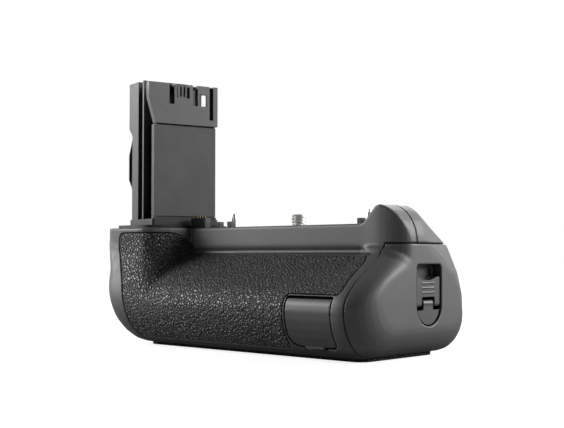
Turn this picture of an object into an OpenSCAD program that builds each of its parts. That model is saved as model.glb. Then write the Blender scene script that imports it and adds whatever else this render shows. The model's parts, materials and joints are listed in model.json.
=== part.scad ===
// Vertical battery grip for an interchangeable lens camera.
// The origin is the mouth of the tripod socket, under the clamp screw.
// +X runs to the magazine end, +Y to the back, +Z up into the camera.

/* [Batteries] */
// Length of one battery
cell_l = 56.8; // [50:0.1:62]
// Width of one battery
cell_w = 38.4; // [34:0.1:41]
// Thickness of one battery
cell_t = 21; // [18:0.1:23]
// Play of a battery in its compartment
cell_play = 0.4; // [0.2:0.05:0.8]

/* [Magazine] */
// Wall of the battery tray
tray_wall = 1.4; // [1:0.1:2]
// Wall of the bay that the tray slides in
bay_wall = 1.5; // [1:0.1:2]
// Running gap between tray and bay
slide_gap = 0.4; // [0.3:0.05:0.6]
// Depth of the end cap
cap_d = 8; // [7:0.1:10]
// How far the tray reaches into the cap
cap_lap = 2.7; // [2:0.1:3]
// Height of the parting line above the cap
cap_h = 42.3; // [40:0.1:44]
// Gap of the parting lines
seam_gap = 0.35; // [0.2:0.05:0.5]
// Thickness of the contact strips
strip_t = 0.3; // [0.2:0.05:0.5]

/* [Lock lever] */
// Width of the lever recess in the cap
recess_w = 15.6; // [13:0.1:18]
// Height of the lever recess
recess_h = 22.6; // [21:0.1:25]
// Depth of the lever recess
recess_d = 4.4; // [4:0.1:5]
// Height of the recess's round end above the base
recess_z = 12; // [10:0.1:13]
// Distance of the recess behind the clamp screw's axis
recess_y = -4.6; // [-8:0.1:0]
// Width of the hinge tongue
tongue_w = 6.6; // [4:0.1:8]
// Radius of the lever's hinge pin
lever_pin_r = 0.8; // [0.6:0.05:1]
// Height of the finger gap over the lever
finger_gap = 4.4; // [4.2:0.1:6]

/* [Body] */
// Distance from the control end to the clamp screw's axis
lens_x = 77; // [74:0.5:82]
// Length of the zone that holds the release and the dial
control_w = 18; // [17:0.5:22]
// Reach of the belly in front of the clamp screw's axis
belly_d = 45.2; // [43:0.1:48]
// Reach of the smooth band in front of the clamp screw's axis
band_d = 21.3; // [20.8:0.1:23]
// Reach of the deck behind the clamp screw's axis
deck_rear = 16.5; // [15:0.1:18]
// Height of the belly's foremost line
belly_z = 18; // [16:0.1:20]
// Height of the shoulder over the deck
shoulder_h = 7; // [5:0.1:9]
// Height of the clamp mechanism over the magazine bay
mech_h = 17; // [16.5:0.1:19]
// Wall of the shells
wall = 2.6; // [2.2:0.1:3]
// Plane where the two shells meet, behind the clamp screw's axis
seam_y = -12; // [-14:0.1:-10]
// Width of the rim around the deck
rim = 1.6; // [1.2:0.1:2]
// Thickness of the deck plate
deck_t = 2.2; // [1.8:0.1:2.6]
// Height of the base pad's foot under the shells
foot_h = 1.2; // [0.8:0.1:1.6]
// Height of the space under the magazine bay
floor_gap = 2; // [1.6:0.1:3]
// Thickness of the rubber skins
skin_t = 1.2; // [0.8:0.1:1.5]

/* [Cord cover] */
// Width of the cord cover
cover_w = 21.2; // [18:0.1:24]
// Height of the cord cover
cover_h = 17.4; // [15:0.1:18]
// Thickness of the cord cover
cover_t = 2; // [1.8:0.1:2.4]
// Height of the cover's lower edge above the base
cover_z = 5.4; // [5:0.1:6.5]
// Radius of the cover's hinge pin
cover_pin_r = 0.6; // [0.5:0.05:0.8]
// Width of the hole for the cord
cord_w = 11; // [8:0.1:13]
// Height of the hole for the cord
cord_h = 6.5; // [5:0.1:8]

/* [Clamp screw] */
// Radius of the camera screw
screw_r = 3.175; // [2.5:0.005:4.8]
// Reach of the camera screw over the deck
screw_out = 5.4; // [4:0.1:6]
// Radius of the thumbwheel
wheel_r = 19.5; // [19:0.1:20]
// Thickness of the thumbwheel
wheel_t = 4.8; // [4:0.1:5]
// Depth of the tripod socket
socket_d = 5; // [4:0.1:5.2]
// Radial clearance of the running fits
run_gap = 0.06; // [0.02:0.01:0.1]

/* [Stem] */
// Width of the stem
stem_w = 30.4; // [28:0.1:33]
// Thickness of the stem
stem_t = 21.5; // [20:0.1:23]
// Height of the stem over the deck
stem_h = 62.5; // [58:0.5:66]
// Height of the contact head
head_h = 17.5; // [16.5:0.1:20]
// Turn of the stem about the vertical
stem_turn = -14; // [-18:0.5:-8]
// Place of the stem along the body
stem_x = -59; // [-60:0.1:-57]
// Place of the stem behind the clamp screw's axis
stem_y = -16.9; // [-18:0.1:-15]
// Height of the lower step of the plinth
plinth_h = 1.5; // [1:0.1:3]
// Height of the collar on the plinth
collar_h = 2.6; // [1.6:0.1:3.4]

/* [Controls] */
// Radius of the release button
release_r = 5.5; // [4.5:0.1:6]
// Travel of the release button
release_travel = 0.8; // [0.5:0.1:1.2]
// Radius of the command dial
dial_r = 7; // [6:0.1:7.2]
// Width of the command dial
dial_w = 7; // [5:0.1:8]
// Radius of a thumb button
button_r = 3.8; // [3:0.1:4.4]
// Travel of a thumb button
button_travel = 0.6; // [0.4:0.1:0.8]
// Travel of the power switch
switch_travel = 3; // [2:0.1:4]

/* [Hidden] */
$fn = 48;
eps = 0.01;

// Magazine, along X from the control end to the cap
x_l = -lens_x;
bay_x0 = x_l + control_w;
contact_gap = 1.6;
tray_x0 = bay_x0 + bay_wall + contact_gap;
cell_space = cell_l + cell_play;
tray_l = 2 * cell_space + 3 * tray_wall;
tray_x1 = tray_x0 + tray_l;
cap_x = tray_x1 - cap_lap;
x_r = cap_x + cap_d;

// Magazine, across the body and upwards
tray_y = -3;
tray_w = cell_w + cell_play + 2 * tray_wall;
bay_w = tray_w + 2 * slide_gap + 2 * bay_wall;
bay_y0 = tray_y - bay_w / 2;
bay_y1 = tray_y + bay_w / 2;
bay_z0 = foot_h + wall + floor_gap;
tray_z0 = bay_z0 + bay_wall + slide_gap;
tray_h = tray_wall + cell_t + cell_play;
bay_z1 = tray_z0 + tray_h + slide_gap + bay_wall;
deck_h = bay_z1 + mech_h;

// Outer form
rear_gap = 1.5;
y_r = bay_y1 + rear_gap + wall;
edge = 0.6;
lip_z = deck_h - 9;
step_x = -43.6;
nose_run = 15;
nose_d = belly_d - 5;
shoulder_x = cap_x - 11;
shoulder_run = 8.5;
shoulder_rear = -4;
shoulder_back = 7;
corner_run = 22;
corner_lift = 28;
corner_r = 13;
nose_r = 4;
end_run = 12.2;
end_drop = 14.2;
end_lift = 11;
end_band = 7;
end_belly = 12;
end_rear_low = 8;
end_rear_high = 20;
end_rear_run = 15;
end_rear_z = 14;
mid_z = deck_h * 0.6;
roll_d = 13.7;
heel_r = 10;

function bound(t) = min(1, max(0, t));
function ease(t) = pow(bound(t), 2) * (3 - 2 * bound(t));
function blend(a, b, t) = a + (b - a) * t;
function round_in(t) = 1 - sqrt(1 - pow(bound(t), 2));

function bezier(a, b, c, d, t) =
    pow(1 - t, 3) * a + 3 * t * pow(1 - t, 2) * b + 3 * t * t * (1 - t) * c + pow(t, 3) * d;

// How far the grip's nose, the shoulder and the finger lip are present at x
nose_power = 4.2;
function nose(x) = 1 - pow(1 - bound((step_x - x) / nose_run), nose_power);
function shoulder(x) = ease((x - shoulder_x) / shoulder_run);
lip_fade = 6;
function lip(x) = ease((x - step_x) / 2) * (1 - ease((x - shoulder_x) / lip_fade));
dip_d = 1.3;
function dip(x) = dip_d * (1 - ease((x - step_x - 0.8) / 1.4));
function top_z(x) = deck_h + shoulder_h * shoulder(x);

// The ends are rounded by lifting the underside, dropping the top and drawing in the sides
function end_z(x, z) =
    z + corner_lift * round_in((x_l + corner_run - x) / corner_run) * max(0, 1 - z / deck_h)
    + end_lift * round_in((x - x_r + end_run) / end_run) * max(0, 1 - z / mid_z)
    - end_drop * round_in((x - x_r + end_run) / end_run)
        * max(0, (z - mid_z) / (top_z(x) - mid_z));
function end_front(x, y, z) =
    let (r = blend(corner_r, nose_r, ease((z - belly_z - 6) / (lip_z - belly_z - 6))))
    y + r * round_in((x_l + r - x) / r)
    + round_in((x - x_r + end_run) / end_run)
        * blend(end_band, end_belly, bound((-band_d - y) / (belly_d - band_d)));
function end_rear(x, y, z) =
    let (draw = blend(end_rear_low, end_rear_high, pow(bound((z - end_rear_z) / (cap_h - end_rear_z)), 2)))
    seam_y + (y - seam_y)
        * (1 - round_in((x - x_r + end_rear_run) / end_rear_run) * draw / (y_r - seam_y))
        * (1 - round_in((x_l + corner_r - x) / corner_r) * corner_r / (y_r - seam_y));

// Front profile at x, from the deck's edge over the band, the slope and the belly to the base.
// The band ends in a sharp lip over a drawn-in strip; near the cap it runs straight into the slope.
lip_in = 0.7;
flare = 3;
lip_steps = [[0.1, -0.15, 1.3], [0.35, 0, 0.5], [0.6, 0.35, 0], [0.75, lip_in, -0.6], [0.9, lip_in, -1.4]];
slope_steps = 10;
roll_steps = 8;
function front_profile(x) =
    let (
        n = nose(x),
        face = dip(x) - band_d,
        band = blend(face, -nose_d, n),
        root = [blend(face - blend(flare, 0.4, lip(x)), -nose_d - 0.4, n), lip_z - 2],
        pull = [blend(-band_d - 9.7, -nose_d - 1.2, n), lip_z - 6.5],
        swell = [-belly_d, belly_z + 8],
        crest = [-belly_d, belly_z],
        roll_h = belly_z - foot_h
    )
    concat(
        [[band + edge, top_z(x)], [band, top_z(x) - edge]],
        [for (p = lip_steps)
            [blend(face + blend(-flare * p[0], p[1], lip(x)), -nose_d - 0.4 * p[0], n), lip_z + p[2]]],
        [root],
        [for (i = [1:slope_steps]) bezier(root, pull, swell, crest, i / slope_steps)],
        [for (i = [1:roll_steps])
            [-belly_d + roll_d * (1 - cos(90 * i / roll_steps)),
                belly_z - roll_h * sin(90 * i / roll_steps)]]
    );

// Rear profile at x, from the deck's edge to the base
heel_steps = 5;
function rear_profile(x) =
    let (s = shoulder(x))
    concat(
        [
            [blend(deck_rear, shoulder_rear, s), top_z(x)],
            [blend(deck_rear + 0.8, shoulder_back, s), deck_h - blend(1, 0, s)],
            [blend(y_r - 2.2, y_r - 5, s), cap_h],
            [y_r - 0.9, mid_z + 2],
            [y_r, mid_z - 8]
        ],
        [for (i = [0:heel_steps])
            [y_r - heel_r * (1 - cos(90 * i / heel_steps)),
                foot_h + heel_r * (1 - sin(90 * i / heel_steps))]]
    );

function front_section(x) = [for (p = front_profile(x)) [end_front(x, p.x, p.y), end_z(x, p.y)]];
function rear_section(x) = [for (p = rear_profile(x)) [end_rear(x, p.x, p.y), end_z(x, p.y)]];

// Places along X where the form is cut, closer together where it bends
left_steps = 8;
nose_steps = 8;
shoulder_steps = 5;
end_steps = 8;
stations = concat(
    [for (i = [0:left_steps]) x_l + corner_run * (1 - cos(90 * i / left_steps))],
    [for (i = [1:nose_steps]) blend(step_x, x_l + corner_run, pow(1 - i / nose_steps, 1.6))],
    [for (d = [0.8, 1.3, 1.7, 2.2, 4]) step_x + d],
    [for (i = [0:shoulder_steps]) shoulder_x + shoulder_run * i / shoulder_steps],
    [for (i = [1:end_steps]) x_r - end_run + end_run * sin(90 * i / end_steps)]
);

// Those that lie around the stretch from x0 to x1
function stations_over(x0, x1) =
    let (last = len(stations) - 1)
    [for (i = [0:last])
        if ((i == last || stations[i + 1] > x0) && (i == 0 || stations[i - 1] < x1)) stations[i]];

// Closed skin through a row of outlines of equal length, one at each x
module loft(xs, outlines) {
    count = len(outlines[0]);
    last = len(xs) - 1;
    rim_points = [for (i = [0:last]) for (p = outlines[i]) [xs[i], p.x, p.y]];
    middles = [for (i = [0, last]) let (o = outlines[i])
        let (zs = [for (p = o) p.y])
        [xs[i], blend(seam_y, o[round(count / 2)].x, 0.1), blend(min(zs), max(zs), 0.5)]];
    sides = [for (i = [0:last - 1]) for (j = [0:count - 1])
        let (a = i * count + j, b = i * count + (j + 1) % count)
        each [[a, a + count, b], [b, a + count, b + count]]];
    ends = [for (j = [0:count - 1])
        let (k = (j + 1) % count, tail = last * count)
        each [[len(rim_points), j, k], [len(rim_points) + 1, tail + k, tail + j]]];
    polyhedron(concat(rim_points, middles), concat(sides, ends));
}

// Solid half of the body in front of the seam, and the half behind it
module front_half(xs = stations) {
    loft(xs, [for (x = xs) let (s = front_section(x))
        concat([[seam_y, s[0].y]], s, [[seam_y, s[len(s) - 1].y]])]);
}

module rear_half(xs = stations) {
    loft(xs, [for (x = xs) let (s = rear_section(x))
        concat([[seam_y, s[len(s) - 1].y]], [for (i = [len(s) - 1:-1:0]) s[i]], [[seam_y, s[0].y]])]);
}

// Block between two opposite corners
module block(lo, hi) {
    translate(lo) cube(hi - lo);
}

// Plate with round corners, between two corners and two heights
module round_plate(lo, hi, r, z0, z1) {
    translate([0, 0, z0])
        linear_extrude(z1 - z0) {
            translate([lo.x + r, lo.y]) square([hi.x - lo.x - 2 * r, hi.y - lo.y]);
            translate([lo.x, lo.y + r]) square([hi.x - lo.x, hi.y - lo.y - 2 * r]);
            for (x = [lo.x + r, hi.x - r], y = [lo.y + r, hi.y - r])
                translate([x, y]) circle(r);
        }
}

// Rod between two points along one axis: "x", "y" or "z"
module rod(axis, r, from, to) {
    turn = axis == "x" ? [0, 90, 0] : axis == "y" ? [-90, 0, 0] : [0, 0, 0];
    translate(from) rotate(turn) cylinder(r = r, h = norm(to - from));
}

// Outline in the XZ plane pushed through from y0 to y1
module push_y(y0, y1) {
    translate([0, y1, 0]) rotate([90, 0, 0]) linear_extrude(y1 - y0) children();
}

// Outline in the YZ plane pushed through from x0 to x1
module push_x(x0, x1) {
    translate([x0, 0, 0]) rotate([90, 0, 90]) linear_extrude(x1 - x0) children();
}

far = 200;
pin_gap = 0.02;
skin_gap = 0.15;

// Inside of the shells
deck_sink = 0.2;
deck_top = deck_h - deck_sink;
deck_under = deck_top - deck_t;
ledge = 1;
ledge_z = deck_under - 1.2;
bulkhead = 2.6;
// Place to read the outer form at x for an outline drawn in by d: nearer the end on the round
// control end, nearer the cap on the nose's flank
inset_run = 6;
function inset_x(x, d) = x + d * blend(-1, 1, bound((x - x_l - corner_r) / inset_run));
function inset_stations(from, to) =
    concat([from], [for (x = stations) if (x > from + edge && x < to - edge) x], [to]);
cavity_stations = inset_stations(x_l + wall, cap_x - bulkhead);
function section_floor(s) = s[len(s) - 1].y + wall;
function front_inside(x) =
    let (s = front_section(inset_x(x, wall)), low = section_floor(s))
    concat(
        [[seam_y + 1, ledge_z]],
        [for (p = s) [p.x + wall, max(low, min(ledge_z, p.y))]],
        [[seam_y + 1, low]]
    );
function rear_inside(x) =
    let (s = rear_section(inset_x(x, wall)), low = section_floor(s), last = len(s) - 1)
    concat(
        [[seam_y - 1, low]],
        [for (i = [last:-1:0]) [s[i].x - wall, max(low, min(ledge_z, s[i].y))]],
        [[seam_y - 1, ledge_z]]
    );

module front_cavity() {
    difference() {
        loft(cavity_stations, [for (x = cavity_stations) front_inside(x)]);
        block([cover_x0 - 4, -far, 0], [far, cord_wall_y, cover_z + cover_h + 4]);
    }
}

module rear_cavity() {
    loft(cavity_stations, [for (x = cavity_stations) rear_inside(x)]);
}

// Outline of the deck drawn in by d
function deck_front(x) = front_section(x)[0].x;
function deck_back(x) = rear_section(x)[0].x;
function deck_outline(d) =
    let (xs = inset_stations(x_l + d, shoulder_x - d), last = len(xs) - 1)
    concat(
        [for (x = xs) [x, deck_front(inset_x(x, d)) + d]],
        [for (i = [last:-1:0]) [xs[i], deck_back(inset_x(xs[i], d)) - d]]
    );

module deck_slab(d, z0, z1) {
    translate([0, 0, z0]) linear_extrude(z1 - z0) polygon(deck_outline(d));
}

// Room in the shells for the deck plate, the magazine bay, the cap and the thumbwheel
wheel_gap = 0.4;
wheel_z1 = deck_under - 0.3;
wheel_z0 = wheel_z1 - wheel_t;
scoop_w = 27;
scoop_y = deck_rear - 0.2;
module shared_room() {
    block([cap_x, -far, -far], [far, far, cap_h]);
    deck_slab(rim, deck_under, far);
    deck_slab(rim + ledge, ledge_z - eps, far);
    block([bay_x0 - eps, bay_y0 - eps, bay_z0 - eps], [far, bay_y1 + eps, bay_z1 + eps]);
    translate([0, 0, wheel_z0 - wheel_gap])
        cylinder(r = wheel_r + wheel_gap, h = wheel_t + 2 * wheel_gap, $fn = 96);
    block([-scoop_w / 2, scoop_y, wheel_z0 - wheel_gap], [scoop_w / 2, far, wheel_z1 + wheel_gap]);
    pad(0, skin_gap);
    rod("z", socket_r + pin_gap, [0, 0, 0], [0, 0, bay_z0]);
    for (p = foot_places)
        rod("z", base_screw_r + pin_gap, [p.x, p.y, 0], [p.x, p.y, bay_z0]);
}

// Base pad, a little proud of the shells' underside
pad_sunk = 0.8;
pad_x0 = x_l + 17.5;
pad_x1 = cap_x - 2.5;
pad_y0 = -belly_d + roll_d + 0.8;
pad_y1 = y_r - heel_r + 0.5;
pad_r = 5;
pad_edge = 5;
groove_pitch = 4;
groove_w = 1.2;
groove_d = 0.4;
socket_flange_r = 9;
socket_r = socket_flange_r - 1.5;
base_screw_r = 1.25;
base_head_r = 2.3;
foot_places = [for (x = [pad_x0 + 14, pad_x1 - 12], y = [bay_y0 + 7, bay_y1 - 9]) [x, y]];
module pad(z0, gap) {
    round_plate([pad_x0 - gap, pad_y0 - gap], [pad_x1 + gap, pad_y1 + gap], pad_r,
        z0, foot_h + pad_sunk);
}

module base_pad() {
    color("#1c1c1d")
    difference() {
        pad(0, 0);
        rod("z", socket_flange_r + pin_gap, [0, 0, -eps], [0, 0, far]);
        for (p = foot_places)
            rod("z", base_head_r + 0.3, [p.x, p.y, -eps], [p.x, p.y, far]);
        for (x = [pad_x0 + pad_edge:groove_pitch:pad_x1 - pad_edge])
            if (abs(x) > socket_flange_r + groove_pitch)
                block([x, pad_y0 + pad_edge, -eps], [x + groove_w, pad_y1 - pad_edge, groove_d]);
    }
}

module base_screws() {
    color("silver")
    for (p = foot_places)
        difference() {
            union() {
                rod("z", base_head_r, [p.x, p.y, foot_h - 0.3], [p.x, p.y, foot_h + pad_sunk]);
                rod("z", base_screw_r, [p.x, p.y, foot_h], [p.x, p.y, bay_z0]);
            }
            translate([p.x, p.y, foot_h])
                for (a = [0, 90])
                    rotate(a) cube([2.6, 0.6, 1], center = true);
        }
}

module tripod_socket() {
    color("silver")
    difference() {
        union() {
            rod("z", socket_flange_r, [0, 0, 0], [0, 0, foot_h + pad_sunk]);
            rod("z", socket_r, [0, 0, foot_h], [0, 0, bay_z0]);
        }
        rod("z", screw_r, [0, 0, -eps], [0, 0, socket_d]);
        for (a = [45, 225])
            rotate(a) translate([6, 0, 0]) cylinder(r = 0.8, h = 2, center = true);
    }
}

// Front view outline of the grip rubber, grown by g
rub_left = x_l + 9.5;
rub_right = cap_x - 3;
rub_top = deck_h - 2.2;
rub_ledge = lip_z - 1.6;
rub_low = foot_h + 3;
rub_waist = x_l + 16.4;
rub_bend = rub_low + 22.2;
waist_r = 12;
low_lean = 14.5;
high_lean = 25.5;
mid_lean = (low_lean + high_lean) / 2;
frame_w = 1.2;
cover_x1 = cap_x - 5.4;
cover_x0 = cover_x1 - cover_w;
corner_steps = 4;
function bow(c, r, from, to) =
    [for (i = [0:corner_steps])
        let (a = blend(from, to, i / corner_steps))
        [c.x + r * cos(a), c.y + r * sin(a)]];
function grip_outline(g) = concat(
    bow([rub_left + 2.5, rub_top - 2.5], 2.5 + g, 180, 90),
    bow([step_x - 3.2, rub_top - 2], 2 + g, 90, 30),
    bow([step_x + 2.8, rub_ledge + 2.2], 2.2 - g, 200, 270),
    bow([rub_right - 3, rub_ledge - 4], 3 + g, 70, 0),
    bow([rub_right - 1.5, cover_z + cover_h + frame_w + 1.5], 1.5 + g, 0, -90),
    bow([cover_x0 - frame_w + 2, cover_z + cover_h + frame_w - 2], 2 - g, 90, 180),
    bow([cover_x0 - frame_w - 2, rub_low + 2], 2 + g, 0, -90),
    bow([x_l + corner_run + 4.8, rub_low + 6], 6 + g, -90, low_lean - 180),
    bow([rub_waist, rub_bend] - waist_r * [cos(mid_lean), sin(mid_lean)], waist_r - g, low_lean, high_lean),
    bow([rub_left + 4, rub_top - 5.5], 4 + g, 180 + high_lean, 180)
);

// Space in front of the front half, shifted inwards, within an outline
module front_mould(shift, outline, xs = stations) {
    difference() {
        push_y(-far / 2, seam_y - 5) polygon(outline);
        translate(shift) front_half(xs);
    }
}

// The skin is shifted sideways too, so that it stays thick on the nose's flank
skin_shift = [-0.8 * skin_t, skin_t, 0];

module grip_rubber() {
    color("#262626")
    intersection() {
        front_half();
        front_mould(skin_shift, grip_outline(0));
    }
}

// Rear view outline of the thumb rest, grown by g
thumb_x0 = x_l + 13.5;
thumb_x1 = -28;
thumb_z0 = foot_h + 5;
thumb_z1 = mid_z - 1.5;
thumb_r = 5;
function thumb_outline(g) = concat(
    bow([thumb_x0 + thumb_r, thumb_z0 + thumb_r], thumb_r + g, 270, 180),
    bow([thumb_x0 + thumb_r, thumb_z1 - thumb_r], thumb_r + g, 180, 90),
    bow([thumb_x1 - thumb_r, thumb_z1 - thumb_r], thumb_r + g, 90, 0),
    bow([thumb_x1 - thumb_r, thumb_z0 + thumb_r], thumb_r + g, 0, -90)
);

thumb_stations = stations_over(thumb_x0 - 1, thumb_x1 + 1);
module thumb_mould(outline) {
    difference() {
        push_y(seam_y + 5, far / 2) polygon(outline);
        translate([0, -skin_t, 0]) rear_half(thumb_stations);
    }
}

module thumb_rubber() {
    color("#262626")
    intersection() {
        rear_half(thumb_stations);
        thumb_mould(thumb_outline(0));
    }
}

// Cord cover: a flap in the belly, hinged along its upper edge
knuckle_r = 1.25;
cover_gap = 0.35;
pin_lap = 0.9;
function surface_y(z) =
    let (s = front_profile(0))
    lookup(z, [for (i = [len(s) - 1:-1:0]) [s[i].y, s[i].x]]);
hinge_z = cover_z + cover_h - knuckle_r;
hinge_y = surface_y(hinge_z) + knuckle_r + 0.25;
cover_r = 2;
cord_wall_y = -belly_d + 8.5;
cord_x = (cover_x0 + cover_x1) / 2;
cord_z = cover_z + cover_h * 0.48;
function cover_outline(g) = concat(
    [[cover_x0 - g, hinge_z + 0.2], [cover_x1 + g, hinge_z + 0.2]],
    bow([cover_x1 - cover_r, cover_z + cover_r], cover_r + g, 0, -90),
    bow([cover_x0 + 2 * cover_r, cover_z + 2 * cover_r], 2 * cover_r + g, -90, -180)
);

cover_stations = stations_over(cover_x0 - 1, cover_x1 + 1);
module cover_recess() {
    front_mould([0, cover_t + 0.3, 0], cover_outline(cover_gap), cover_stations);
    rod("x", knuckle_r + cover_gap + 0.3, [cover_x0 - cover_gap, hinge_y, hinge_z],
        [cover_x1 + cover_gap, hinge_y, hinge_z]);
    rod("x", cover_pin_r + pin_gap, [cover_x0 - pin_lap - pin_gap, hinge_y, hinge_z],
        [cover_x1 + pin_lap + pin_gap, hinge_y, hinge_z]);
    block([cord_x - cord_w / 2, -far, cord_z - cord_h / 2], [cord_x + cord_w / 2, 0, cord_z + cord_h / 2]);
    block([cord_x - 5.5, -far, cover_z - 1.6], [cord_x + 5.5, surface_y(cover_z) + 1.6, cover_z + 1]);
}

module cord_cover() {
    color("#4a4a4b")
    difference() {
        union() {
            intersection() {
                front_half(cover_stations);
                front_mould([0, cover_t, 0], cover_outline(0), cover_stations);
            }
            rod("x", knuckle_r, [cover_x0, hinge_y, hinge_z], [cover_x1, hinge_y, hinge_z]);
            block([cord_x - 4.5, surface_y(cover_z) - 0.3, cover_z - 0.9],
                [cord_x + 4.5, surface_y(cover_z) + 1, cover_z + 0.6]);
        }
        rod("x", cover_pin_r + run_gap, [cover_x0 - 1, hinge_y, hinge_z],
            [cover_x1 + 1, hinge_y, hinge_z]);
    }
}

module cord_cover_pin() {
    color("silver")
    rod("x", cover_pin_r, [cover_x0 - pin_lap, hinge_y, hinge_z], [cover_x1 + pin_lap, hinge_y, hinge_z]);
}

// Release button, on the round lower corner of the control end
release_turn = 45;
release_y = -27;
release_ring = 1.8;
release_at = [x_l + corner_run * (1 - cos(release_turn)), release_y,
    foot_h + corner_lift * (1 - sin(release_turn))];
release_tilt = atan2(cos(release_turn) / corner_run, sin(release_turn) / corner_lift);
ring_depth = 5;
ring_top = 0.5;
cup_floor = 1.2;
plunger_r = 1.6;
module at_release() {
    translate(release_at) rotate([0, 180 + release_tilt, 0]) children();
}

module release_ring() {
    color("#3a3a3b")
    at_release()
    difference() {
        translate([0, 0, -ring_depth])
            cylinder(r = release_r + release_ring, h = ring_depth + ring_top);
        translate([0, 0, cup_floor - ring_depth]) cylinder(r = release_r + run_gap, h = far);
        translate([0, 0, -far / 2]) cylinder(r = plunger_r + 0.3, h = far);
        translate([0, 0, ring_top - 0.5])
            cylinder(r1 = release_r + run_gap, r2 = release_r + 0.9, h = 0.5 + eps);
    }
}

module release_button() {
    color("#5a5a5b")
    at_release()
    rotate_extrude()
        polygon(concat(
            [[0, -ring_depth], [plunger_r, -ring_depth], [plunger_r, -2.2], [release_r, -2.2]],
            [[release_r, 0.2], [release_r - 0.5, 0.7], [release_r * 0.6, 0.5], [0, 0.35]]
        ));
}

switch_h = 3.4;
module release_switch() {
    color("#202022")
    at_release() {
        translate([0, 0, -ring_depth - release_travel - switch_h / 2])
            difference() {
                cube([8, 8, switch_h], center = true);
                translate([0, 0, switch_h / 2]) cylinder(r = plunger_r + 0.3, h = 0.6, center = true);
            }
        for (x = [-3.4, 3.4])
            translate([x, 0, -ring_depth - release_travel / 2])
                cube([1.2, 8, release_travel], center = true);
    }
}

// Command dial, turning about Y with its rim out of the control end
dial_out = 1.6;
dial_y = 0;
dial_lift = 34;
dial_face = [x_l + corner_run * (1 - cos(dial_lift)), foot_h + corner_lift * (1 - sin(dial_lift))];
dial_tilt = atan2(sin(dial_lift) / corner_lift, cos(dial_lift) / corner_run);
dial_x = dial_face.x + (dial_r - dial_out) * cos(dial_tilt);
dial_z = dial_face.y + (dial_r - dial_out) * sin(dial_tilt);
dial_teeth = 28;
axle_r = 1;
dial_gap = 0.4;
ear_r = 2.4;
ear_t = 1.2;
ear_gap = 0.3;
ear_y = dial_w / 2 + dial_gap + ear_gap;
ear_end = ear_y + ear_t;
module dial_room() {
    rod("y", dial_r + dial_gap, [dial_x, dial_y - dial_w / 2 - dial_gap, dial_z],
        [dial_x, dial_y + dial_w / 2 + dial_gap, dial_z]);
    rod("y", ear_r + ear_gap, [dial_x, dial_y - ear_end - ear_gap, dial_z],
        [dial_x, dial_y + ear_end + ear_gap, dial_z]);
}

module command_dial() {
    color("#39393a")
    translate([dial_x, dial_y + dial_w / 2, dial_z])
        rotate([90, 0, 0])
            linear_extrude(dial_w)
                difference() {
                    polygon([for (i = [0:2 * dial_teeth - 1])
                        let (a = 180 * i / dial_teeth, r = dial_r - 0.5 * (i % 2))
                        [r * cos(a), r * sin(a)]]);
                    circle(axle_r + run_gap);
                }
}

module dial_axle() {
    color("silver")
    rod("y", axle_r, [dial_x, dial_y - ear_end, dial_z], [dial_x, dial_y + ear_end, dial_z]);
}

module dial_bracket() {
    color("#303032")
    difference() {
        union() {
            block([bay_x0 - ear_t, dial_y - ear_end, dial_z - ear_r],
                [bay_x0, dial_y + ear_end, dial_z + ear_r]);
            for (y = [dial_y - ear_end, dial_y + ear_y]) {
                block([dial_x, y, dial_z - ear_r], [bay_x0, y + ear_t, dial_z + ear_r]);
                rod("y", ear_r, [dial_x, y, dial_z], [dial_x, y + ear_t, dial_z]);
            }
        }
        rod("y", axle_r + pin_gap, [dial_x, -far, dial_z], [dial_x, far, dial_z]);
    }
}

// Thumb buttons on the back, over the thumb rest
button_out = 1;
flange_t = 0.8;
flange_r = button_r + 0.9;
tip_l = 0.6;
button_pitch = 10.5;
button_x = x_l + 16.5;
button_places = [for (i = [0:2]) [button_x + button_pitch * i, bay_z1 + flange_r + 0.4]];
function back_y(z) =
    let (s = rear_profile(0))
    lookup(z, [for (i = [len(s) - 1:-1:0]) [s[i].y, s[i].x]]);
button_face = back_y(button_places[0].y);
flange_y = button_face - wall - 1.2;
module button_holes() {
    for (p = button_places)
        rod("y", button_r + run_gap, [p.x, 0, p.y], [p.x, far, p.y]);
}

module thumb_button(p) {
    color("#4c4c4d")
    translate([p.x, flange_y - flange_t, p.y])
        rotate([-90, 0, 0])
            rotate_extrude()
                polygon([
                    [0, -tip_l], [1.2, -tip_l], [1.2, 0], [flange_r, 0], [flange_r, flange_t],
                    [button_r, flange_t], [button_r, button_face - flange_y + flange_t + button_out - 0.5],
                    [button_r - 0.5, button_face - flange_y + flange_t + button_out],
                    [0, button_face - flange_y + flange_t + button_out - 0.2]
                ]);
}

module focus_button() { thumb_button(button_places[0]); }
module lock_button() { thumb_button(button_places[1]); }
module start_button() { thumb_button(button_places[2]); }

key_t = 2.2;
key_w = 5.2;
key_y1 = flange_y - flange_t - tip_l - button_travel - 0.05;
key_y0 = key_y1 - key_t;
module button_keys() {
    color("#cfcfd0")
    for (p = button_places)
        block([p.x - key_w / 2, key_y0, p.y - key_w / 2], [p.x + key_w / 2, key_y1, p.y + key_w / 2]);
}

board_t = 1.6;
module button_board() {
    color("darkgreen")
    block([bay_x0, key_y0 - board_t, bay_z1],
        [button_places[2].x + flange_r, key_y0, button_places[0].y + flange_r]);
}

// Power switch: a slider behind the back wall with a knob through a slot
switch_x = -14;
switch_z = foot_h + heel_r + 5;
knob_l = 5;
knob_h = 3.4;
slider_t = 0.9;
slider_lap = 1.5;
switch_gap = 0.2;
module switch_slot() {
    block([switch_x - knob_l / 2 - switch_gap, 0, switch_z - knob_h / 2 - switch_gap],
        [switch_x + knob_l / 2 + switch_travel + switch_gap, far, switch_z + knob_h / 2 + switch_gap]);
}

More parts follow.
